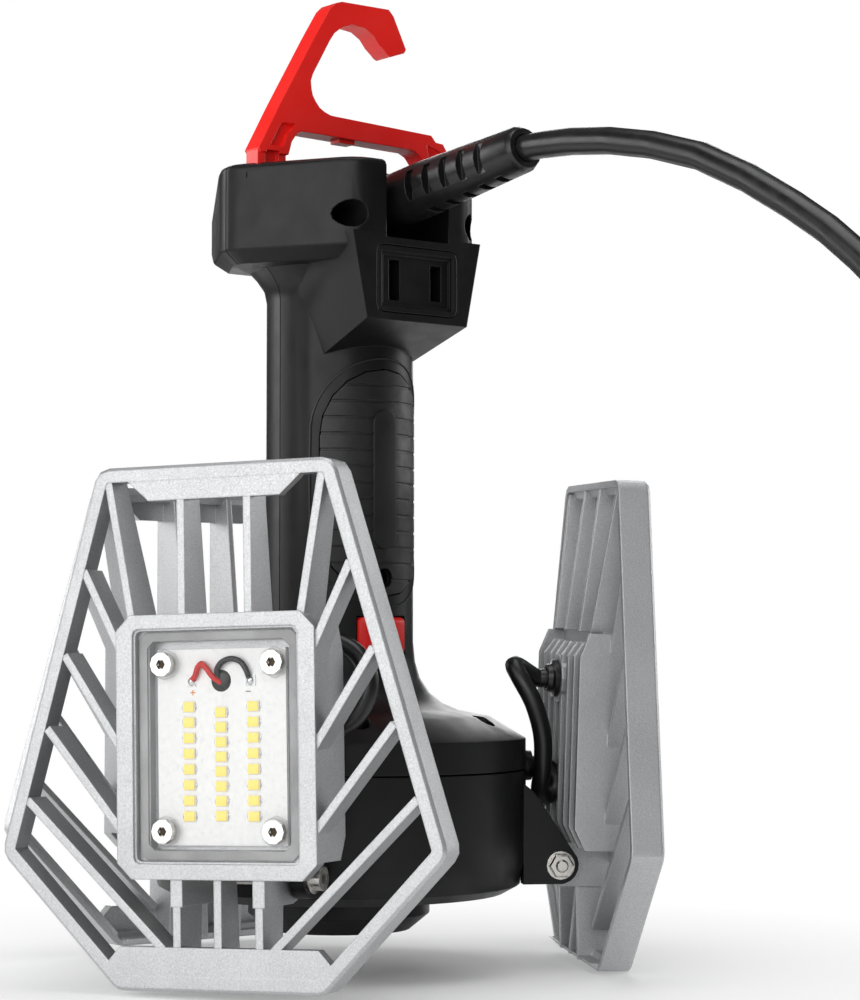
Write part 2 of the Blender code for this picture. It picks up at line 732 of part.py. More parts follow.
def capsule_strip(name, mid_z, half, high, inner, outer, columns=10):
    """A stadium-shaped plate wrapped on the front of the handle."""
    straight = max(high / 2 - half, 0.0)
    rings = []
    for k in range(columns + 1):
        s = -half * math.cos(math.pi * k / columns)
        rise = straight + math.sqrt(max(half * half - s * s, 0.0))
        rise = max(rise, 0.05)
        t = s / HANDLE_R
        ring = []
        for radius, z in ((outer, mid_z + rise), (outer, mid_z - rise),
                          (inner, mid_z - rise), (inner, mid_z + rise)):
            ring.append((radius * math.sin(t), -radius * math.cos(t), z))
        rings.append(ring)
    return loft(name, rings)


def shoulder_holes():
    holes = []
    for k in range(6):
        t = math.radians(30 + 60 * k)
        x, y = 38.0 * math.sin(t), -38.0 * math.cos(t)
        holes.append(rod("hole", (x, y, 47.6), (x, y, 60.0), 2.9, 10))
    return holes


def build_shells():
    """Front and rear handle shells, parted on the middle plane."""
    outer = add(lathe("shell", hub_profile(0.0), 42), block_body(0.0), nose_body(0.0))
    hollow = [(0, 30.0), (HUB_R - WALL, 30.0), (HUB_R - WALL, 45.4), (36.1, 49.6), (26.6, 51.6),
              (18.4, 58.4), (HANDLE_R - WALL, 69.0), (HANDLE_R - WALL, 166.0), (0, 166.0)]
    inner = add(lathe("inner", hollow, 20), block_body(WALL), nose_body(WALL))
    # solid places left inside the shells
    keep = [
        box("recess wall", (-RECESS_HALF - 2.2, RECESS_HALF + 2.2), (-40, RECESS_BACK + 2.2),
            (RECESS_Z - 2.2, 190)),
        box("outlet wall", (-OUTLET_HALF - 2, OUTLET_HALF + 2), (-40, -24.6),
            (OUTLET_LOW - 2, OUTLET_HIGH + 2)),
    ]
    for sign in (1, -1):
        low, high = sorted((sign * 19.0, sign * 34.0))
        keep.append(box("hook bay", (low, high), (-11.0, 9.0), (176.6, 190)))
        keep.append(rod("boss", (sign * 18.2, -40, 172.2), (sign * 18.2, 40.0, 172.2), 5.6, 8))
    keep.append(rod("boss", (0, -40, 86.0), (0, 40.0, 86.0), 4.8, 8))
    for k in range(6):
        t = math.radians(30 + 60 * k)
        x, y = 38.0 * math.sin(t), -38.0 * math.cos(t)
        keep.append(rod("boss", (x, y, 41.0), (x, y, 60.0), 4.8, 8))
    cut(inner, *keep)
    shell = cut(outer, inner)

    lower = box("lower", (-60, 60), (-60, 60), (0, PARTING_Z + GAP))
    recess = box("recess", (-RECESS_HALF, RECESS_HALF), (-60, RECESS_BACK), (RECESS_Z, 200))
    window = extrude("outlet", rectangle(OUTLET_HALF, OUTLET_LOW, OUTLET_HIGH, 2.0), -60, -24.0,
                     elevation)
    button = box("button", (-7.35, 7.35), (-40, 0), (BUTTON_Z - 4.75, BUTTON_Z + 4.75))
    relief = aim(RELIEF_START, RELIEF_END)
    socket = lathe("socket", [(0, -8), (7.1, -8), (7.1, 12), (0, 12)], 24, relief)
    pad = capsule_strip("pad", GRIP_MID_Z, 16.9, GRIP_HIGH + 0.6, 16.8, 21.0)
    tools = [lower, recess, window, button, socket, pad] + shoulder_holes()
    for key in HEADS:
        tools.append(gland_hole(key))
    for sign in (1, -1):
        at = sign * 18.2
        tools.append(rod("counterbore", (at, -40, 172.2), (at, -17.0, 172.2), 3.35))
        tools.append(rod("hole", (at, -40, 172.2), (at, 4.5, 172.2), 1.75, 8))
        low, high = sorted((sign * (NECK_IN - 0.3), sign * (NECK_OUT + 0.3)))
        tools.append(box("neck slot", (low, high), (-8.0, 1.0), (179.9, 200)))
        low, high = sorted((sign * 20.2, sign * 31.5))
        ramp = [(-1.6, 180.2), (0.4, 180.9), (6.6, 184.6), (9.5, 190.0), (-1.6, 190.0)]
        tools.append(extrude("swing", ramp, low, high, side_view))
    tools.append(rod("counterbore", (0, -40, 86.0), (0, -12.0, 86.0), 2.4))
    tools.append(rod("hole", (0, -40, 86.0), (0, 4.5, 86.0), 1.5, 8))
    tools.append(rod("pin hole", (-32.6, PIN_Y, PIN_Z), (32.6, PIN_Y, PIN_Z), PIN_R + 0.06))
    cut(shell, *tools)

    rear = placed(shell, Matrix.Identity(4))
    cut(shell, box("rear half", (-80, 80), (-0.12, 80), (0, 260)))
    cut(rear, box("front half", (-80, 80), (-80, 0.12), (0, 260)))
    finish(shell, "front_shell", "black_plastic")
    finish(rear, "rear_shell", "black_plastic")


def build_grip():
    """Soft grip pad with level grooves and a plain raised strip in the middle."""
    pad = capsule_strip("grip", GRIP_MID_Z, 16.6, GRIP_HIGH, 17.0, 18.55)
    grooves = []
    for k in range(13):
        z = GRIP_MID_Z + (k - 6) * 3.95
        profile = [(18.25, z - 0.3), (21.0, z - 0.3), (21.0, z + 0.3), (18.25, z + 0.3)]
        grooves.append(lathe("groove", profile, 24, ring=True))
    cut(pad, *grooves)
    add(pad, capsule_strip("strip", 110.0, 3.3, 34.0, 17.3, 18.8, 8))
    cut(pad, rod("hole", (0, -40, 86.0), (0, -12.0, 86.0), 2.4))
    return finish(pad, "grip_pad", "grip_rubber")


def build_outlet():
    """Outlet insert with a stepped border and two blade slots, and its contacts."""
    front = -BLOCK_APOTHEM
    face = extrude("outlet", rectangle(OUTLET_HALF - 0.25, OUTLET_LOW + 0.25, OUTLET_HIGH - 0.25, 1.8),
                   front, -24.9, elevation)
    tools = [
        extrude("step", rectangle(11.0, 150.6, 163.8), -40, front + 0.5, elevation),
        extrude("step", rectangle(10.2, 151.4, 163.0), -40, front + 1.1, elevation),
        extrude("slot", [(-8.0, 152.2), (-4.7, 152.2), (-4.7, 162.0), (-8.0, 162.0)],
                -40, -24, elevation),
        extrude("slot", [(4.7, 152.9), (8.0, 152.9), (8.0, 161.5), (4.7, 161.5)],
                -40, -24, elevation),
    ]
    cut(face, *tools)
    finish(face, "outlet_face", "black_plastic")
    for number, x in ((1, -SLOT_X), (2, SLOT_X)):
        outline = [(x - 1.9, -24.4), (x - 1.2, -24.4), (x - 0.7, -16.4), (x + 0.7, -16.4),
                   (x + 1.2, -24.4), (x + 1.9, -24.4), (x + 1.4, -15.7), (x - 1.4, -15.7)]
        clip = extrude("contact", outline, 154.0, 160.0, plan)
        finish(clip, "outlet_contact_%d" % number, "brass")


def build_inside():
    """Driver board in the handle and the switch behind the button."""
    board = box("board", (-12.5, 12.5), (6.0, 7.6), (92.0, 150.0))
    add(board,
        box("transformer", (-8.0, 8.0), (-4.0, 6.2), (126.0, 142.0)),
        rod("capacitor", (-5.0, 1.0, 97.0), (-5.0, 1.0, 118.0), 4.9, 12),
        box("link", (-7.0, -3.0), (3.0, 6.4), (100.0, 104.0)),
        box("choke", (3.0, 10.0), (0.5, 6.2), (104.0, 114.0)))
    finish(board, "driver_board", "green_board")
    switch = box("switch", (-6.0, 6.0), (-11.6, -3.6), (BUTTON_Z - 5.0, BUTTON_Z + 5.0))
    add(switch, box("plunger", (-1.6, 1.6), (-12.6, -11.0), (BUTTON_Z - 1.6, BUTTON_Z + 1.6)))
    finish(switch, "switch_body", "black_plastic")


def build_button():
    """Curved push button with a flange behind the handle wall."""
    outline = arc((0, 0), 19.2, -90 - 21.6, -90 + 21.6, 10) + [(7.05, -14.2), (-7.05, -14.2)]
    key = extrude("button", outline, BUTTON_Z - 4.5, BUTTON_Z + 4.5, plan)
    finish(key, "power_button", "red_plastic")
    move_origin(key, (0.0, -HANDLE_R, BUTTON_Z))


def build_screws():
    """Self-tapping screws that hold the two handle shells together."""
    places = (("shell_screw_1", -18.2, -16.6, 172.2, 2.7, 1.55),
              ("shell_screw_2", 18.2, -16.6, 172.2, 2.7, 1.55),
              ("shell_screw_3", 0.0, -11.6, 86.0, 2.1, 1.3))
    for name, x, y, z, head, shank in places:
        frame = aim((x, 4.0, z), (x, -40.0, z))
        top = 4.0 - y
        profile = [(0, 0), (shank - 0.6, 0), (shank, 1.5), (shank, top + 0.5), (head, top + 0.5),
                   (head, top + 1.5), (head - 0.6, top + 2.2), (0, top + 2.2)]
        screw = lathe("screw", profile, 10, frame)
        cross = [box("cross", (-0.4, 0.4), (-1.4, 1.4), (top + 1.3, top + 4), frame),
                 box("cross", (-1.4, 1.4), (-0.4, 0.4), (top + 1.3, top + 4), frame)]
        cut(screw, *cross)
        finish(screw, name, "dark_steel")


# ------------------------------------------------------------------------ hook
def build_hook():
    """Flat hook on two feet that fold back on a cross pin."""
    outline = [
        (-30.4, 189.6), (-24.1, 201.1), (-13.5, 219.4), (-9.0, 226.8), (-7.3, 228.4), (-5.4, 229.0),
        (9.3, 229.2), (10.8, 227.7), (14.8, 219.8), (14.2, 218.8), (10.0, 217.3), (9.0, 217.7),
        (8.0, 218.6), (6.3, 219.9), (4.6, 221.9), (1.9, 223.4), (-2.2, 223.8), (-5.5, 222.5), (-7.7, 220.8),
        (-9.1, 218.8), (-14.2, 209.9), (-14.9, 208.0), (-14.7, 206.0), (-14.3, 204.4), (-13.4, 203.0),
        (-12.2, 201.6), (-10.6, 200.7), (-8.8, 200.1), (-6.9, 200.0), (23.0, 198.9), (24.5, 197.3),
        (26.8, 197.1), (28.3, 195.0), (31.0, 189.6), (30.3, 188.8), (21.6, 188.8), (20.6, 191.7),
        (19.0, 193.6), (17.0, 194.5), (-17.6, 195.1), (-19.0, 194.4), (-20.6, 192.2), (-21.6, 188.8),
        (-29.8, 188.8),
    ]
    hook = extrude("hook", list(reversed(outline)), HOOK_FRONT, HOOK_BACK, elevation)
    pieces = [box("nub", (-5.3, -0.5), (-6.6, -3.0), (193.9, 195.6))]
    tools = []
    for sign in (1, -1):
        low, high = sorted((sign * NECK_IN, sign * NECK_OUT))
        neck = [(PIN_Y - 2.4, 189.4), (PIN_Y - 2.4, PIN_Z)]
        neck += arc((PIN_Y, PIN_Z), 2.4, 180, 360, 8) + [(PIN_Y + 2.4, 189.4)]
        pieces.append(extrude("neck", neck, low, high, side_view))
        tools.append(box("waist", sorted((sign * 24.2, sign * 28.1)), (-12, -6.2), (180, 189.4)))
    add(hook, *pieces)
    left = [(-27.0, 190.6), (-23.2, 190.6), (-22.0, 193.6), (-19.6, 196.6), (-23.6, 196.6)]
    right = [(22.9, 190.6), (28.4, 190.6), (26.4, 195.0), (21.6, 196.4), (22.2, 193.2)]
    for pocket in (left, right):
        tools.append(extrude("pocket", pocket, -12.0, HOOK_FRONT + 1.2, elevation))
        tools.append(extrude("pocket", pocket, HOOK_BACK - 1.2, 2.0, elevation))
    tools.append(rod("pin hole", (-40, PIN_Y, PIN_Z), (40, PIN_Y, PIN_Z), PIN_R + 0.07))
    cut(hook, *tools)
    finish(hook, "hook", "red_plastic")
    on_pin = (0.0, PIN_Y, PIN_Z)
    move_origin(hook, on_pin, pivot("hook_pivot", Matrix.Translation(Vector(on_pin))))
    pin = rod("pin", (-32.3, PIN_Y, PIN_Z), (32.3, PIN_Y, PIN_Z), PIN_R)
    finish(pin, "hook_pin", "nickel_steel")


# ----------------------------------------------------------------------- cords
def build_relief():
    """Tapered cord sleeve with cross slots, held by a flange inside the block."""
    frame = aim(RELIEF_START, RELIEF_END)
    length = (Vector(RELIEF_END) - Vector(RELIEF_START)).length
    profile = [(3.3, -1.4), (8.2, -1.4), (8.2, 0.0), (6.75, 0.0), (6.75, 23.4), (5.5, length - 1.6),
               (4.7, length), (3.3, length)]
    sleeve = lathe("sleeve", profile, 20, frame, ring=True)
    slots = []
    for k in range(5):
        z = 23.4 + k * 6.2
        for sign in (1, -1):
            x = sorted((sign * 4.35, sign * 9.0))
            slots.append(box("slot", x, (-3.6, 3.6), (z, z + 2.4), frame))
            y = sorted((sign * 4.35, sign * 9.0))
            slots.append(box("slot", (-2.4, 2.4), y, (z + 3.1, z + 5.4), frame))
    slots.append(box("flat", (-10, 10), (-14.0, -8.0), (183.3, 190.0)))
    cut(sleeve, *slots)
    return finish(sleeve, "cord_strain_relief", "black_rubber")


CORD_ROUTE = (
    (0, -14.5, 176.83), (0, -42.0, 180.2), (0, -66.0, 183.2), (0, -76.0, 183.7), (0, -99.6, 181.2),
    (0, -127.9, 173.7), (0, -154.6, 159.7), (0, -172.8, 146.8), (0.5, -189.0, 130.0),
    (2.0, -208.0, 100.0), (5.0, -221.0, 68.0), (11.0, -229.0, 36.0), (15.5, -231.5, 19.0),
    (21.5, -230.5, 4.0), (29.5, -226.0, -5.9),
)


def build_cord():
    path = smooth_path(CORD_ROUTE, 3)
    finish(sweep("cord", path, CORD_R, 8), "power_cord", "black_rubber")
    # the rest of the length, wound into one ring lying on the floor
    middle, outer, turns_high = 34.0, 43.2, 12.6
    inner = 2 * middle - outer
    profile = [(inner, 3.0), (inner + 3.0, 0.0), (outer - 3.0, 0.0), (outer, 3.0),
               (outer, turns_high - 3.0), (outer - 3.0, turns_high),
               (inner + 3.0, turns_high), (inner, turns_high - 3.0)]
    frame = Matrix.Translation(Vector((COIL_MID[0], COIL_MID[1], FLOOR_Z)))
    finish(lathe("coil", profile, 26, frame, ring=True), "cord_coil", "black_rubber")
    build_plug()


def build_plug():
    """Moulded two-blade plug lying beside the coil."""
    frame = Matrix.Translation(Vector((134.0, -208.9, FLOOR_Z)))
    body = [(-13.0, 2.6), (-13.0, 13.4), (-10.0, 15.6), (6.0, 15.6), (12.0, 12.4), (12.0, 3.6),
            (6.0, 0.4), (-10.0, 0.4)]
    plug = extrude("plug", body, -12.0, 12.0, lambda a, b, c: (a, c, b), frame)
    pieces = [rod("sleeve", (-28.0, 0, 8.0), (-12.0, 0, 8.0), 4.4, 16, frame)]
    for sign in (1, -1):
        y = sorted((sign * 6.35 - 0.75, sign * 6.35 + 0.75))
        pieces.append(box("blade", (10.0, 29.0), y, (4.8, 11.2), frame))
    add(plug, *pieces)
    return finish(plug, "cord_plug", "black_rubber")


def main():
    for obj in list(bpy.data.objects):
        bpy.data.objects.remove(obj)
    build_heads()
    build_tub()
    build_foot()
    build_shells()
    build_grip()
    build_outlet()
    build_inside()
    build_button()
    build_screws()
    build_hook()
    build_relief()
    build_cord()


main()
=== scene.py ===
"""Looks of a corded work light: a round hub and handle with three hinged, caged LED heads.

Sizes are in millimetres and become metres where a mesh is made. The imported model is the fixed
frame: +Z is up and -Y is the side with the outlet and the power button. Each CAD node is shown
as a welded, smooth-shaded copy of itself, and the small things the CAD leaves out (LED chips,
wires, solder, cord turns) are built here.
"""

import json
import math

import bmesh
import bpy
from mathutils import Matrix, Vector

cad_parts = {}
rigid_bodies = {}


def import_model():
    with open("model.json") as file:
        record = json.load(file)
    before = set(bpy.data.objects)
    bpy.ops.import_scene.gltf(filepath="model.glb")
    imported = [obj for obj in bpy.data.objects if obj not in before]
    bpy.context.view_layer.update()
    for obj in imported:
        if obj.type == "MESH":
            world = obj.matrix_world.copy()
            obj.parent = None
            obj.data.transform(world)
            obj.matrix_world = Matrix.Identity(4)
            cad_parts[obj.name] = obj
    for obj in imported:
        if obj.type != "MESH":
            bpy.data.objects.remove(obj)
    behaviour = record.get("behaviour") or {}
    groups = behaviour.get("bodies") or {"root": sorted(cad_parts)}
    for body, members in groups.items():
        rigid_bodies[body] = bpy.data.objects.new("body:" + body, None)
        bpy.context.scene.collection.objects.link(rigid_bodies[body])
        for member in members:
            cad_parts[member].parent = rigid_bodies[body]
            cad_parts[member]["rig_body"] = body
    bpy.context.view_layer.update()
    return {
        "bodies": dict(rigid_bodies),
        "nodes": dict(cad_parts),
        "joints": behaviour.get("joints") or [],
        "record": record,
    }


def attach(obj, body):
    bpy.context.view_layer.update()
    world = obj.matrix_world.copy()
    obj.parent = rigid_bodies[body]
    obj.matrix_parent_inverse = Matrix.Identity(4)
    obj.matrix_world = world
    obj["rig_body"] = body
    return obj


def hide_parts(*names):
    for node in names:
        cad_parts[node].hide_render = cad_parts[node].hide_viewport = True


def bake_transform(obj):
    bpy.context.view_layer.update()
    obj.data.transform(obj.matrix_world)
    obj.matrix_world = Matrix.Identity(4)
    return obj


MM = 0.001

# Hinges of the three heads: azimuth from -Y, then lean, roll and turn within the play (degrees)
HINGE_R = 52.4
HINGE_Z = 16.5
HEADS = {
    "a": (-60.0, 0.73, -1.30, -1.50),
    "b": (60.0, -1.67, -1.73, 0.42),
    "c": (180.0, 0.0, 0.0, 0.0),
}

# LED board: chip columns across, then the height of the top chip and the pitch of each column
BOARD_FRONT = 12.9
LED_COLUMNS = ((-8.1, 39.2, 3.52), (0.0, 37.9, 3.32), (8.1, 39.2, 3.52))
LED_ROWS = 8
CHIP_WIDE, CHIP_HIGH = 2.7, 2.2
PAD_U = 7.4
LEAD_W = 45.0
# board wires from the grommet to their pads: across, in front of the board, above the grommet
WIRE_R = 0.66
WIRES = {
    "wire_red": ((0.1, 0.2, -0.5), (-1.6, 1.0, 0.9), (-3.2, 1.1, 2.9), (-4.4, 1.0, 3.9),
                 (-5.5, 0.9, 3.0), (-6.1, 0.8, 1.4), (-7.0, 0.6, 0.3)),
    "wire_black": ((-0.5, 0.2, 0.6), (-0.6, 0.9, 2.4), (0.6, 1.0, 4.1), (2.9, 1.0, 4.9),
                   (5.2, 1.0, 4.3), (6.6, 0.9, 2.6), (7.3, 0.6, 0.6)),
}
# plus and minus marks: across and below the pads' height, then the length and width of a bar
MARK_PLUS, MARK_MINUS = (-7.2, 2.6), (6.8, 2.5)
MARK_LONG, MARK_THIN = 1.3, 0.25
SCREW_U, SCREW_W, SOCKET_V = 13.9, (11.2, 48.9), 14.75

# Cords
GLAND_Z = 39.7
LEAD_R = 2.3
CORD_R = 3.1
FLOOR_Z = -9.1
CORD_ROUTE = (
    (0, -14.5, 176.83), (0, -42.0, 180.2), (0, -66.0, 183.2), (0, -76.0, 183.7), (0, -99.6, 181.2),
    (0, -127.9, 173.7), (0, -154.6, 159.7), (0, -172.8, 146.8), (0.5, -189.0, 130.0),
    (2.0, -208.0, 100.0), (5.0, -221.0, 68.0), (11.0, -229.0, 36.0), (15.5, -231.5, 19.0),
    (21.5, -230.5, 4.0), (29.5, -226.0, -5.9),
)
COIL_MID = (74.0, -250.0)
COIL_RADII = (40.1, 33.9, 27.7)
COIL_LAYERS = (3.1, 9.4)
COIL_POINTS = 16
COIL_LEAD_IN, COIL_CROSSING, COIL_SHIFT = 0.72, 0.9, 1.0  # radians
PLUG_ENTRY = (107.0, -208.9)
PLUG_SLEEVE_Z = 8.0
# the cord's last steps into the plug's sleeve, then where the blades begin and their tone
PLUG_TAIL = ((-16.0, 2.7, 1.0), (-8.0, 0.5, 0.3), (0.0, 0.0, 0.0))
PLUG_BLADES_X = 146.3
BLADE_TONE = (0.72, 0.68, 0.6, 1.0)
# a lead runs from the hub over the hinge, through points in the head's frame without its lean, into
# the head
# radii of its straight start through the gland, and depths of its straight end in the head
LEAD_START, LEAD_END = (41.0, 44.5, 47.5, 49.6), (4.4, 2.2, -0.4, -3.2)
LEAD_ROUTES = {
    "a": ((1.2, 1.6, 23.3), (5.5, 1.8, 25.6), (11.5, 2.2, 30.0), (18.5, 3.0, 32.6),
          (25.8, 4.0, 36.4), (28.8, 5.0, 43.2), (25.8, 6.0, 50.2), (18.5, 6.8, 53.8),
          (10.5, 7.2, 53.0), (4.2, 7.2, 49.4)),
    "b": ((0.0, 0.4, 22.7), (-0.1, -1.9, 20.6), (-0.3, -1.6, 17.3), (-1.3, 0.9, 15.6),
          (-3.4, 2.6, 17.3), (-5.6, 2.4, 23.0), (-7.2, 2.8, 31.0), (-7.2, 5.0, 39.0),
          (-5.0, 8.2, 45.6), (-2.2, 8.8, 48.4)),
    "c": ((0.0, 0.4, 22.7), (0.1, -1.9, 20.6), (0.3, -1.6, 17.3), (1.3, 0.9, 15.6),
          (3.4, 2.6, 17.3), (5.6, 2.4, 23.0), (7.2, 2.8, 31.0), (7.2, 5.0, 39.0),
          (5.0, 8.2, 45.6), (2.2, 8.8, 48.4)),
}

# Grip: the plain line round the ribbed pad
GRIP_MID_Z = 109.2
GRIP_LINE_HALF, GRIP_LINE_HIGH = 19.3, 60.8
GRIP_LINE_R, GRIP_LINE_POINTS = 0.28, 48
HANDLE_R = 18.3

# Camera
CAMERA_AT = (-0.398, -0.5307, 0.0694)
CAMERA_TURN = (93.14, 0.0, -38.81)
CAMERA_LENS = 96.0

# Light: level of the surroundings, then soft boxes as name, place, side and power
AMBIENT = 0.09
SKY_TONE, WHITE = (0.97, 0.98, 1.0, 1.0), (1.0, 1.0, 1.0, 1.0)
FLOOR_RADIUS = 600.0
FLOOR_DROP = 0.6  # millimetres from the heads' lowest edges, which leaves room for the cord
FLOOR_FADE = (0.02, 0.19)  # metres from the middle, from paper to lit white
LIGHTS = (
    ("left", (-1.1, -0.15, 0.35), 0.9, 6.3),
    ("front", (-0.85, -0.95, 0.55), 0.8, 4.6),
    ("top", (-0.1, -0.1, 1.1), 0.8, 5.0),
    ("right", (1.1, -0.2, 0.4), 0.6, 3.0),
    ("back_left", (-0.6, 0.9, 0.4), 0.6, 4.0),
    ("back_right", (0.7, 0.8, 0.4), 0.6, 4.0),
)


# ------------------------------------------------------------------ node trees
class Finish:
    """One material's node tree, with the few node chains that the finishes share."""

    def __init__(self, name, colour, roughness, metallic=0.0, **sockets):
        self.material = bpy.data.materials.new(name)
        self.material.use_nodes = True
        self.tree = self.material.node_tree
        self.shader = self.tree.nodes["Principled BSDF"]
        self.shader.inputs["Base Color"].default_value = (*colour, 1.0)
        self.shader.inputs["Roughness"].default_value = roughness
        self.shader.inputs["Metallic"].default_value = metallic
        for socket, value in sockets.items():
            self.shader.inputs[socket.replace("_", " ")].default_value = value
        self.place = self.node("ShaderNodeTexCoord").outputs["Object"]
        self.normal = None

    def node(self, kind, **settings):
        made = self.tree.nodes.new(kind)
        for key, value in settings.items():
            setattr(made, key, value)
        return made

    def link(self, source, target):
        self.tree.links.new(source, target)

    def noise(self, scale, detail=4.0, roughness=0.55, stretch=None):
        made = self.node("ShaderNodeTexNoise")
        made.inputs["Scale"].default_value = scale
        made.inputs["Detail"].default_value = detail
        made.inputs["Roughness"].default_value = roughness
        place = self.place
        if stretch:
            mapping = self.node("ShaderNodeMapping")
            mapping.inputs["Scale"].default_value = stretch
            self.link(place, mapping.inputs["Vector"])
            place = mapping.outputs["Vector"]
        self.link(place, made.inputs["Vector"])
        return made.outputs["Fac"]

    def cells(self, scale):
        made = self.node("ShaderNodeTexVoronoi")
        made.inputs["Scale"].default_value = scale
        self.link(self.place, made.inputs["Vector"])
        return made

    def spread(self, value, low, high, out_low=0.0, out_high=1.0):
        """value from low..high to out_low..out_high, clamped."""
        made = self.node("ShaderNodeMapRange")
        for socket, number in zip(("From Min", "From Max", "To Min", "To Max"),
                                  (low, high, out_low, out_high)):
            made.inputs[socket].default_value = number
        self.link(value, made.inputs["Value"])
        return made.outputs["Result"]

    def tint(self, value, dark, light):
        """Base colour between two tones."""
        ramp = self.node("ShaderNodeValToRGB")
        ramp.color_ramp.elements[0].color = (*dark, 1.0)
        ramp.color_ramp.elements[1].color = (*light, 1.0)
        self.link(value, ramp.inputs["Fac"])
        self.link(ramp.outputs["Color"], self.shader.inputs["Base Color"])

    def rough(self, value, low, high, out_low, out_high):
        self.link(self.spread(value, low, high, out_low, out_high), self.shader.inputs["Roughness"])

    def round_edges(self, radius):
        """Soft moulded edges: the normal turns over this many millimetres."""
        rounding = self.node("ShaderNodeBevel", samples=6)
        rounding.inputs["Radius"].default_value = radius * MM
        self.normal = rounding.outputs["Normal"]
        self.link(self.normal, self.shader.inputs["Normal"])

    def bump(self, value, strength, depth):
        made = self.node("ShaderNodeBump")
        made.inputs["Strength"].default_value = strength
        made.inputs["Distance"].default_value = depth * MM
        self.link(value, made.inputs["Height"])
        if self.normal is not None:
            self.link(self.normal, made.inputs["Normal"])
        self.normal = made.outputs["Normal"]
        self.link(self.normal, self.shader.inputs["Normal"])


def moulded_plastic(name, dark, light, roughness, grain=0.05, gloss=0.5):
    """Injection-moulded plastic: fine spark-eroded grain, slow sheen changes, soft edges."""
    finish = Finish(name, light, roughness, Specular_IOR_Level=gloss)
    slow = finish.noise(38.0, 3.0)
    finish.tint(finish.spread(slow, 0.35, 0.65), dark, light)
    finish.rough(finish.noise(160.0, 3.0), 0.3, 0.7, roughness - 0.05, roughness + 0.06)
    finish.round_edges(0.35)
    finish.bump(finish.noise(3200.0, 2.0), 0.35, grain)
    finish.bump(slow, 0.12, 0.25)
    return finish.material


def rubber(name, tone, roughness, grain=0.05):
    """Smooth extruded or moulded rubber with faint drag marks and a little bloom."""
    finish = Finish(name, (tone,) * 3, roughness, Specular_IOR_Level=0.55)
    bloom = finish.noise(70.0, 5.0)
    finish.tint(finish.spread(bloom, 0.3, 0.75), (tone * 0.8,) * 3, (tone * 1.5,) * 3)
    finish.rough(finish.noise(240.0, 3.0), 0.3, 0.7, roughness - 0.06, roughness + 0.07)
    finish.round_edges(0.25)
    finish.bump(finish.noise(2100.0, 3.0), 0.3, grain)
    return finish.material


def cast_aluminium(name):
    """Blasted die casting: sparkling fine grain over slightly uneven, bluish grey metal."""
    finish = Finish(name, (0.52, 0.53, 0.54), 0.48, 0.78)
    grain = finish.noise(2600.0, 3.0, 0.6)
    patches = finish.noise(60.0, 3.0)
    mixed = finish.node("ShaderNodeMath", operation="MULTIPLY_ADD")
    finish.link(patches, mixed.inputs[0])
    mixed.inputs[1].default_value = 0.35
    finish.link(grain, mixed.inputs[2])
    finish.tint(finish.spread(mixed.outputs["Value"], 0.45, 0.95),
                (0.44, 0.452, 0.462), (0.62, 0.624, 0.628))
    finish.rough(grain, 0.3, 0.7, 0.56, 0.36)
    finish.round_edges(0.45)
    finish.bump(finish.cells(2600.0).outputs["Distance"], 0.3, 0.06)
    finish.bump(grain, 0.4, 0.06)
    return finish.material


def plated_steel(name, tone, roughness):
    """Turned and plated steel: fine rings of machining and small stains."""
    finish = Finish(name, tone, roughness, 1.0)
    stains = finish.noise(420.0, 4.0)
    finish.tint(finish.spread(stains, 0.3, 0.7), tuple(c * 0.82 for c in tone), tone)
    finish.rough(stains, 0.3, 0.7, roughness - 0.05, roughness + 0.1)
    finish.round_edges(0.12)
    finish.bump(finish.noise(2600.0, 2.0, stretch=(1, 1, 0.15)), 0.2, 0.02)
    return finish.material


def circuit_board(name, dark, light, trace_scale):
    """Lacquered board: copper tracks show as slightly raised bands under the lacquer."""
    finish = Finish(name, light, 0.32, Coat_Weight=0.25, Coat_Roughness=0.2)
    tracks = finish.node("ShaderNodeTexBrick")
    tracks.inputs["Scale"].default_value = trace_scale
    tracks.inputs["Mortar Size"].default_value = 0.03
    finish.link(finish.place, tracks.inputs["Vector"])
    speckle = finish.noise(900.0, 2.0)
    finish.tint(finish.spread(speckle, 0.25, 0.75), dark, light)
    finish.rough(speckle, 0.3, 0.7, 0.26, 0.4)
    finish.round_edges(0.1)
    finish.bump(tracks.outputs["Fac"], 0.25, 0.03)
    return finish.material


def clear_lens(name):
    """Thin clear moulding: see-through from the front, brighter towards grazing angles."""
    finish = Finish(name, (0.55, 0.56, 0.57), 0.06, 0.0, Specular_IOR_Level=0.9)
    # The facing mask makes the grey base colour opaque towards grazing angles: a painted
    # reflection, on top of the shader's own gloss
    facing = finish.node("ShaderNodeLayerWeight")
    grazing = finish.node("ShaderNodeMath", operation="POWER")
    grazing.inputs[1].default_value = 5.0
    finish.link(facing.outputs["Facing"], grazing.inputs[0])
    finish.link(finish.spread(grazing.outputs["Value"], 0.0, 1.0, 0.025, 0.9),
                finish.shader.inputs["Alpha"])
    finish.rough(finish.noise(300.0, 2.0), 0.3, 0.7, 0.03, 0.09)
    finish.bump(finish.noise(90.0, 2.0), 0.05, 0.05)
    return finish.material


def phosphor(name):
    """Silicone over yellow phosphor: grainy and glossy, with a faint painted glow in place of light
    shining through it.
    """
    # Emission Strength and Emission Color: a faint painted glow on the chips, not a lit lamp
    finish = Finish(name, (1.0, 0.72, 0.16), 0.4, Emission_Strength=0.12)
    finish.shader.inputs["Emission Color"].default_value = (1.0, 0.75, 0.25, 1.0)
    grains = finish.noise(5200.0, 2.0)
    finish.tint(finish.spread(grains, 0.3, 0.7), (0.96, 0.70, 0.14), (1.0, 0.82, 0.24))
    finish.rough(grains, 0.3, 0.7, 0.3, 0.5)
    finish.bump(grains, 0.3, 0.03)
    return finish.material


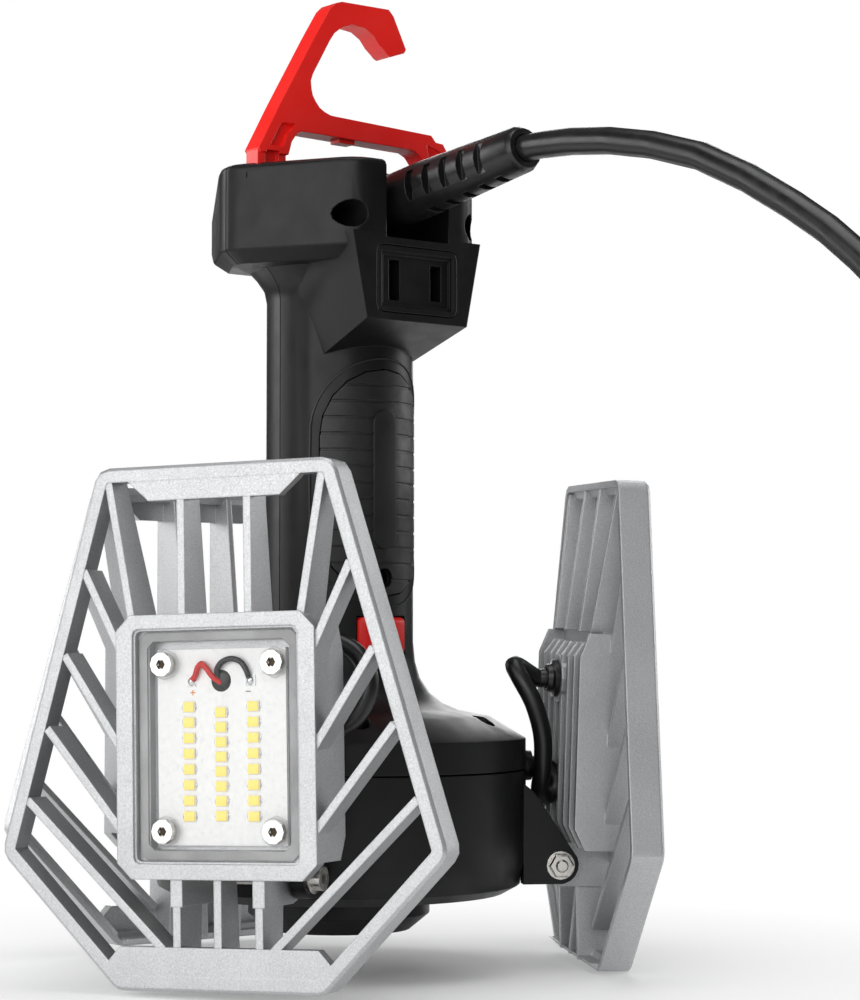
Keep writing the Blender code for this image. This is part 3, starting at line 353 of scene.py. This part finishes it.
def enamel(name, colour, roughness, metallic=0.0):
    """Small coloured pieces: wire jackets, solder, printed marks, LED bases."""
    finish = Finish(name, colour, roughness, metallic)
    uneven = finish.noise(1400.0, 3.0)
    finish.tint(finish.spread(uneven, 0.3, 0.7), tuple(c * 0.85 for c in colour), colour)
    finish.rough(uneven, 0.3, 0.7, max(roughness - 0.06, 0.04), roughness + 0.08)
    finish.bump(uneven, 0.25, 0.03)
    return finish.material


def cord_plug_finish(name, blades_from):
    """Moulded rubber plug whose blades, past a given X in millimetres, are plated metal."""
    material = rubber(name, 0.02, 0.42)
    tree = material.node_tree
    shader = tree.nodes["Principled BSDF"]
    place = tree.nodes.new("ShaderNodeTexCoord")
    split = tree.nodes.new("ShaderNodeSeparateXYZ")
    past = tree.nodes.new("ShaderNodeMath")
    past.operation = "GREATER_THAN"
    past.inputs[1].default_value = blades_from * MM
    tree.links.new(place.outputs["Object"], split.inputs["Vector"])
    tree.links.new(split.outputs["X"], past.inputs[0])
    tree.links.new(past.outputs["Value"], shader.inputs["Metallic"])
    jacket = shader.inputs["Base Color"].links[0].from_socket
    choose = tree.nodes.new("ShaderNodeMix")
    choose.data_type = "RGBA"
    colours = [s for s in choose.inputs if s.type == "RGBA"]
    tree.links.new(past.outputs["Value"], choose.inputs[0])
    tree.links.new(jacket, colours[0])
    colours[1].default_value = BLADE_TONE
    result = [s for s in choose.outputs if s.type == "RGBA"][0]
    tree.links.new(result, shader.inputs["Base Color"])
    return material


def make_finishes():
    """One finish for each material slot of the record, and some for the small pieces."""
    return {
        "black_plastic": moulded_plastic("black_plastic", (0.004, 0.004, 0.0045),
                                         (0.007, 0.007, 0.0075), 0.38, gloss=0.3),
        "grip_rubber": rubber("grip_rubber", 0.006, 0.46, 0.07),
        "red_plastic": moulded_plastic("red_plastic", (0.86, 0.010, 0.007),
                                       (0.95, 0.016, 0.010), 0.34, 0.03),
        "nickel_steel": plated_steel("nickel_steel", (0.74, 0.72, 0.68), 0.22),
        "dark_steel": plated_steel("dark_steel", (0.09, 0.09, 0.09), 0.38),
        "black_rubber": rubber("black_rubber", 0.006, 0.34),
        "brass": plated_steel("brass", (0.78, 0.60, 0.28), 0.25),
        "green_board": circuit_board("green_board", (0.012, 0.11, 0.045), (0.03, 0.19, 0.08),
                                     160.0),
        "cast_aluminium": cast_aluminium("cast_aluminium"),
        "white_board": circuit_board("white_board", (0.80, 0.81, 0.80), (0.90, 0.90, 0.89), 130.0),
        "clear_plastic": clear_lens("clear_plastic"),
        "grey_silicone": rubber("grey_silicone", 0.30, 0.5),
        "phosphor": phosphor("led_phosphor"),
        "led_base": enamel("led_base", (0.92, 0.91, 0.86), 0.35),
        "solder": enamel("solder", (0.72, 0.73, 0.75), 0.24, 0.9),
        "wire_red": enamel("wire_red", (0.62, 0.02, 0.015), 0.38),
        "wire_black": enamel("wire_black", (0.015, 0.015, 0.016), 0.38),
        # socket: dark brown, painted shade for the floor of each lens screw's hexagon socket
        "socket": enamel("socket", (0.05, 0.035, 0.02), 0.4, 0.6),
        "mark_plus": enamel("mark_plus", (0.85, 0.30, 0.04), 0.5),
        "mark_minus": enamel("mark_minus", (0.25, 0.25, 0.27), 0.5),
        "cord_plug": cord_plug_finish("cord_plug_finish", PLUG_BLADES_X),
    }


# --------------------------------------------------------------------- shapes
def mesh_piece(name, work, finish, body, smooth=35.0):
    """A finished mesh object from a bmesh in millimetres, riding on a body."""
    bmesh.ops.recalc_face_normals(work, faces=work.faces)
    mesh = bpy.data.meshes.new(name)
    work.to_mesh(mesh)
    work.free()
    mesh.transform(Matrix.Scale(MM, 4))
    mesh.shade_smooth()
    mesh.set_sharp_from_angle(angle=math.radians(smooth))
    mesh.materials.append(finish)
    piece = bpy.data.objects.new(name, mesh)
    bpy.context.scene.collection.objects.link(piece)
    if body:
        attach(piece, body)
    return piece


def rounded_block(work, centre, size, radius, frame):
    """A small box with rounded edges, added to work in the given frame."""
    made = bmesh.ops.create_cube(work, size=1.0)["verts"]
    bmesh.ops.scale(work, vec=size, verts=made)
    edges = list({e for v in made for e in v.link_edges})
    bevelled = bmesh.ops.bevel(work, geom=edges, offset=radius, segments=2, profile=0.5,
                               affect="EDGES")["verts"]
    verts = list({*bevelled, *(v for v in made if v.is_valid)})
    bmesh.ops.transform(work, matrix=frame @ Matrix.Translation(centre), verts=verts)


def dome(work, centre, size, frame):
    """A flattened ball, such as a blob of solder."""
    made = bmesh.ops.create_uvsphere(work, u_segments=16, v_segments=10, radius=1.0)["verts"]
    bmesh.ops.scale(work, vec=size, verts=made)
    bmesh.ops.transform(work, matrix=frame @ Matrix.Translation(centre), verts=made)


def smooth_path(points, steps):
    """Points on a Catmull-Rom curve through the given ones."""
    pts = [Vector(p) for p in points]
    pts = [2 * pts[0] - pts[1]] + pts + [2 * pts[-1] - pts[-2]]
    out = []
    for i in range(1, len(pts) - 2):
        a, b, c, d = pts[i - 1:i + 3]
        for k in range(steps):
            t = k / steps
            out.append(0.5 * (2 * b + (c - a) * t + (2 * a - 5 * b + 4 * c - d) * t * t
                              + (3 * b - a - 3 * c + d) * t ** 3))
    out.append(pts[-2])
    return out


def tube(work, path, radius, sides):
    """A round closed tube along a path, carried without twist."""
    way = (path[1] - path[0]).normalized()
    up = way.orthogonal().normalized()
    rings = []
    for i, point in enumerate(path):
        new = (path[min(i + 1, len(path) - 1)] - path[max(i - 1, 0)]).normalized()
        up = way.rotation_difference(new) @ up
        up = (up - new * up.dot(new)).normalized()
        way = new
        side = way.cross(up)
        turns = [2 * math.pi * k / sides for k in range(sides)]
        rings.append([work.verts.new(point + (up * math.cos(t) + side * math.sin(t)) * radius)
                      for t in turns])
    for a, b in zip(rings, rings[1:]):
        for k in range(sides):
            n = (k + 1) % sides
            work.faces.new((a[k], a[n], b[n], b[k]))
    work.faces.new(rings[0])
    work.faces.new(rings[-1])


def head_frame(key, with_lean=True):
    """Local X across, Y inwards, Z up, at the middle of the hinge, in millimetres."""
    azimuth, lean, roll, turn = HEADS[key]
    t = math.radians(azimuth)
    out = Vector((math.sin(t), -math.cos(t), 0.0))
    across = Vector((math.cos(t), math.sin(t), 0.0))
    basis = Matrix((across, -out, Vector((0, 0, 1)))).transposed().to_4x4()
    play = (Matrix.Rotation(-math.radians(lean), 4, "X")
            @ Matrix.Rotation(math.radians(turn), 4, "Z")
            @ Matrix.Rotation(math.radians(roll), 4, "Y"))
    frame = Matrix.Translation(out * HINGE_R + Vector((0, 0, HINGE_Z))) @ basis @ play
    if not with_lean:
        frame = frame @ Matrix.Rotation(math.radians(lean), 4, "X")
    return frame


# -------------------------------------------------------------- CAD node looks
ROUNDED = {"power_button": 1.3}
WELD = 0.002  # millimetres
SHARP_ANGLE = 28.0
SOFT_NODES = ("power_cord", "cord_coil", "lamp_lead_a", "lamp_lead_b", "lamp_lead_c")


def polish(node, finish):
    """A welded, smooth-shaded copy of a CAD node, which stands for it."""
    mesh = node.data.copy()
    mesh.materials.clear()
    work = bmesh.new()
    work.from_mesh(mesh)
    bmesh.ops.remove_doubles(work, verts=work.verts, dist=WELD * MM)
    bmesh.ops.dissolve_limit(work, angle_limit=math.radians(0.6), verts=work.verts,
                             edges=work.edges)
    work.to_mesh(mesh)
    work.free()
    if "custom_normal" in mesh.attributes:
        mesh.attributes.remove(mesh.attributes["custom_normal"])
    mesh.shade_smooth()
    mesh.set_sharp_from_angle(angle=math.radians(SHARP_ANGLE))
    mesh.materials.append(finish)
    piece = bpy.data.objects.new(node.name + "_skin", mesh)
    bpy.context.scene.collection.objects.link(piece)
    if node.name in ROUNDED:
        bevel = piece.modifiers.new("rounded edges", "BEVEL")
        bevel.width = ROUNDED[node.name] * MM
        bevel.segments = 4
        bevel.angle_limit = math.radians(40.0)
    weighted = piece.modifiers.new("flat faces lead", "WEIGHTED_NORMAL")
    weighted.keep_sharp = True
    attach(piece, node["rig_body"])
    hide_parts(node.name)
    return piece


def dress_nodes(frame, finishes):
    """Give each CAD node, or the smooth copy that stands for it, the finish of its slot."""
    slots = {row["node"]: row["material_slot"] for row in frame["record"]["subparts"]}
    for name, node in frame["nodes"].items():
        if name in SOFT_NODES:
            continue
        slot = slots[name]
        polish(node, finishes.get(name, finishes[slot]))


# --------------------------------------------------------------------- boards
def build_leds(key, finishes):
    """Three columns of chips, each a phosphor pad on a thin white base with solder ends."""
    frame, body = head_frame(key), "head_" + key
    bases, chips, solder = bmesh.new(), bmesh.new(), bmesh.new()
    for u, top, pitch in LED_COLUMNS:
        for row in range(LED_ROWS):
            w = top - row * pitch
            rounded_block(bases, (u, -(BOARD_FRONT + 0.2), w),
                          (CHIP_WIDE + 0.35, 0.4, CHIP_HIGH + 0.3), 0.1, frame)
            rounded_block(chips, (u, -(BOARD_FRONT + 0.52), w),
                          (CHIP_WIDE, 0.34, CHIP_HIGH), 0.16, frame)
            for side in (-1, 1):
                dome(solder, (u + side * (CHIP_WIDE / 2 + 0.32), -(BOARD_FRONT + 0.02), w),
                     (0.22, 0.12, 0.7), frame)
    mesh_piece("led_bases_" + key, bases, finishes["led_base"], body)
    mesh_piece("led_chips_" + key, chips, finishes["phosphor"], body)
    mesh_piece("led_solder_" + key, solder, finishes["solder"], body)


def build_wiring(key, finishes):
    """Grommet, the two short wires to their pads, and a plus and a minus mark."""
    frame, body = head_frame(key), "head_" + key
    front = -BOARD_FRONT

    grommet = bmesh.new()
    dome(grommet, (0.0, front, LEAD_W), (2.5, 0.7, 2.5), frame)
    mesh_piece("board_grommet_" + key, grommet, finishes["black_rubber"], body)

    for colour, route in WIRES.items():
        wire = bmesh.new()
        path = [frame @ Vector((u, front - lift, LEAD_W + w)) for u, lift, w in route]
        tube(wire, smooth_path(path, 5), WIRE_R, 12)
        mesh_piece("board_%s_%s" % (colour, key), wire, finishes[colour], body)

    pads = bmesh.new()
    for side in (-1, 1):
        rounded_block(pads, (side * PAD_U, front - 0.04, LEAD_W), (2.3, 0.1, 2.6), 0.04, frame)
        dome(pads, (side * PAD_U, front - 0.1, LEAD_W - 0.1), (0.95, 0.75, 1.1), frame)
    mesh_piece("board_pads_" + key, pads, finishes["solder"], body)

    plus, minus = bmesh.new(), bmesh.new()
    level, upright = (MARK_LONG, 0.06, MARK_THIN), (MARK_THIN, 0.06, MARK_LONG)
    u, below = MARK_PLUS
    rounded_block(plus, (u, front - 0.03, LEAD_W - below), level, 0.02, frame)
    rounded_block(plus, (u, front - 0.04, LEAD_W - below), upright, 0.02, frame)
    u, below = MARK_MINUS
    rounded_block(minus, (u, front - 0.03, LEAD_W - below), level, 0.02, frame)
    mesh_piece("board_plus_" + key, plus, finishes["mark_plus"], body)
    mesh_piece("board_minus_" + key, minus, finishes["mark_minus"], body)


def build_socket_shade(key, finishes):
    """Painted shade: a dark hexagon laid at the floor of the socket in each lens screw."""
    frame, work = head_frame(key), bmesh.new()
    for u in (-SCREW_U, SCREW_U):
        for w in SCREW_W:
            made = bmesh.ops.create_cone(work, cap_ends=True, segments=6, radius1=1.13,
                                         radius2=1.0, depth=0.5)["verts"]
            place = (Matrix.Translation((u, -SOCKET_V, w))
                     @ Matrix.Rotation(math.radians(90.0), 4, "X"))
            bmesh.ops.transform(work, matrix=frame @ place, verts=made)
    mesh_piece("lens_screw_socket_shade_" + key, work, finishes["socket"], "head_" + key)


# ----------------------------------------------------------------------- grip
def build_grip_line(finishes):
    """The thin line moulded round the grip pad, lying on the handle."""
    half, high = GRIP_LINE_HALF, GRIP_LINE_HIGH / 2
    outline = []
    for k in range(GRIP_LINE_POINTS):
        t = 2 * math.pi * k / GRIP_LINE_POINTS
        straight = math.copysign(high - half, math.sin(t)) if abs(math.sin(t)) > 1e-9 else 0.0
        outline.append((half * math.cos(t), GRIP_MID_Z + half * math.sin(t) + straight))
    path = []
    for arc, z in outline + outline[:1]:
        t = arc / HANDLE_R
        path.append(Vector((HANDLE_R * math.sin(t), -HANDLE_R * math.cos(t), z)))
    work = bmesh.new()
    tube(work, path, GRIP_LINE_R, 8)
    mesh_piece("grip_line", work, finishes["grip_rubber"], "housing")


# ---------------------------------------------------------------------- cords
def coil_path():
    """The wound part of the mains cord: in from outside, three turns below, three above, out."""
    middle = Vector((COIL_MID[0], COIL_MID[1], FLOOR_Z))
    start = Vector((CORD_ROUTE[-1][0], CORD_ROUTE[-1][1], FLOOR_Z)) - middle
    begin = math.atan2(start.y, start.x)
    first = begin - COIL_LEAD_IN
    outer, centre, inner = COIL_RADII
    low, high = COIL_LAYERS
    laps = ((outer, low), (centre, low), (inner, low), (inner, high), (centre, high),
            (outer, high), (outer + high - low, high))

    def lap_place(turned):
        radius, height = laps[0]
        for number, (here, after) in enumerate(zip(laps, laps[1:])):
            end = 2 * math.pi * (number + 1) - (COIL_SHIFT if number > 1 else 0.0)
            part = min(max((turned - end) / COIL_CROSSING + 1, 0.0), 1.0)
            part = part * part * (3 - 2 * part)
            radius += (after[0] - here[0]) * part
            height += (after[1] - here[1]) * part
        return radius, height

    points = []
    for k in range(1, 5):
        share = k / 5
        points.append((start.length + (outer - start.length) * (1 - (1 - share) ** 2),
                       begin - COIL_LEAD_IN * share, low))
    total = 2 * math.pi * (len(laps) - 1) + first - math.pi / 2
    count = round(total * COIL_POINTS / (2 * math.pi))
    for k in range(count + 1):
        turned = total * k / count
        radius, height = lap_place(turned)
        points.append((radius, first - turned, height))
    return [middle + Vector((r * math.cos(t), r * math.sin(t), z)) for r, t, z in points]


def build_power_cord(finishes):
    """The mains cord from the strain relief to the plug, as one curve."""
    entry = Vector((PLUG_ENTRY[0], PLUG_ENTRY[1], FLOOR_Z + PLUG_SLEEVE_Z))
    tail = [entry + Vector(step) for step in PLUG_TAIL]
    points = smooth_path(list(CORD_ROUTE) + coil_path() + tail, 2)
    data = bpy.data.curves.new("power_cord_flex", "CURVE")
    data.dimensions = "3D"
    data.bevel_depth = CORD_R * MM
    data.bevel_resolution = 5
    data.use_fill_caps = True
    spline = data.splines.new("POLY")
    spline.points.add(len(points) - 1)
    for target, point in zip(spline.points, points):
        target.co = (*(point * MM), 1.0)
    spline.use_smooth = True
    data.materials.append(finishes["black_rubber"])
    flex = bpy.data.objects.new("power_cord_flex", data)
    bpy.context.scene.collection.objects.link(flex)
    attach(flex, "housing")
    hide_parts("power_cord", "cord_coil")


def build_lamp_lead(key, finishes):
    """The short flexible lead from the hub to a head, laid as a fixed tube along the head's present
    lean.
    """
    azimuth = math.radians(HEADS[key][0])
    out, height = Vector((math.sin(azimuth), -math.cos(azimuth), 0.0)), Vector((0, 0, GLAND_Z))
    bracket, head = head_frame(key, with_lean=False), head_frame(key)
    path = [out * radius + height for radius in LEAD_START]
    path += [bracket @ Vector(p) for p in LEAD_ROUTES[key]]
    path += [head @ Vector((0, y, LEAD_W)) for y in LEAD_END]
    path = smooth_path(path, 5)
    work = bmesh.new()
    tube(work, path, LEAD_R, 16)
    lead = mesh_piece("lamp_flex_" + key, work, finishes["black_rubber"], None,
                      smooth=60.0)
    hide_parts("lamp_lead_" + key)
    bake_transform(lead)


# ---------------------------------------------------------------------- stage
def area_light(name, place, target, size, power):
    data = bpy.data.lights.new(name, "AREA")
    data.shape, data.size, data.energy = "SQUARE", size, power
    lamp = bpy.data.objects.new(name, data)
    lamp.location = place
    lamp.rotation_euler = (Vector(target) - Vector(place)).to_track_quat("-Z", "Y").to_euler()
    bpy.context.scene.collection.objects.link(lamp)


def fade_to_white(finish):
    """Let the paper turn into lit white away from the object, so that it has no far edge."""
    radius = finish.node("ShaderNodeVectorMath", operation="LENGTH")
    finish.link(finish.place, radius.inputs[0])
    glow = finish.node("ShaderNodeEmission")
    glow.inputs["Strength"].default_value = 1.0
    mix = finish.node("ShaderNodeMixShader")
    finish.link(finish.spread(radius.outputs["Value"], *FLOOR_FADE), mix.inputs["Fac"])
    finish.link(finish.shader.outputs["BSDF"], mix.inputs[1])
    finish.link(glow.outputs["Emission"], mix.inputs[2])
    finish.link(mix.outputs["Shader"], finish.tree.nodes["Material Output"].inputs["Surface"])


def build_stage():
    """White surroundings, a white floor and broad soft lights from all round."""
    world = bpy.data.worlds.new("studio")
    world.use_nodes = True
    tree = world.node_tree
    light = tree.nodes["Background"]
    light.inputs["Color"].default_value = SKY_TONE
    light.inputs["Strength"].default_value = AMBIENT
    backdrop = tree.nodes.new("ShaderNodeBackground")
    backdrop.inputs["Strength"].default_value = 1.0
    backdrop.inputs["Color"].default_value = WHITE
    ray, choose = tree.nodes.new("ShaderNodeLightPath"), tree.nodes.new("ShaderNodeMixShader")
    tree.links.new(ray.outputs["Is Camera Ray"], choose.inputs["Fac"])
    tree.links.new(light.outputs["Background"], choose.inputs[1])
    tree.links.new(backdrop.outputs["Background"], choose.inputs[2])
    tree.links.new(choose.outputs["Shader"], tree.nodes["World Output"].inputs["Surface"])
    bpy.context.scene.world = world

    work = bmesh.new()
    bmesh.ops.create_circle(work, cap_ends=True, segments=96, radius=FLOOR_RADIUS)
    bmesh.ops.translate(work, vec=(0, 0, FLOOR_Z - FLOOR_DROP), verts=work.verts)
    mesh = bpy.data.meshes.new("floor")
    work.to_mesh(mesh)
    work.free()
    mesh.transform(Matrix.Scale(MM, 4))
    floor_finish = Finish("floor_paper", (0.95, 0.95, 0.95), 0.9)
    floor_finish.bump(floor_finish.noise(300.0), 0.05, 0.05)
    fade_to_white(floor_finish)
    mesh.materials.append(floor_finish.material)
    floor = bpy.data.objects.new("floor", mesh)
    bpy.context.scene.collection.objects.link(floor)

    for name, place, size, power in LIGHTS:
        area_light(name, place, (0.0, 0.0, 0.1), size, power)

    scene = bpy.context.scene
    scene.view_settings.view_transform = "Standard"
    scene.view_settings.look = "None"
    scene.view_settings.exposure = 0.0


def build_camera():
    data = bpy.data.cameras.new("camera")
    data.lens, data.sensor_width, data.sensor_fit = CAMERA_LENS, 36.0, "AUTO"
    data.clip_start, data.clip_end = 0.01, 20.0
    camera = bpy.data.objects.new("camera", data)
    camera.location = CAMERA_AT
    camera.rotation_euler = [math.radians(a) for a in CAMERA_TURN]
    bpy.context.scene.collection.objects.link(camera)
    bpy.context.scene.camera = camera


def main():
    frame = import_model()
    finishes = make_finishes()
    build_camera()
    dress_nodes(frame, finishes)
    build_power_cord(finishes)
    for key in HEADS:
        build_lamp_lead(key, finishes)
        build_leds(key, finishes)
        build_wiring(key, finishes)
        build_socket_shade(key, finishes)
    build_grip_line(finishes)
    build_stage()


main()
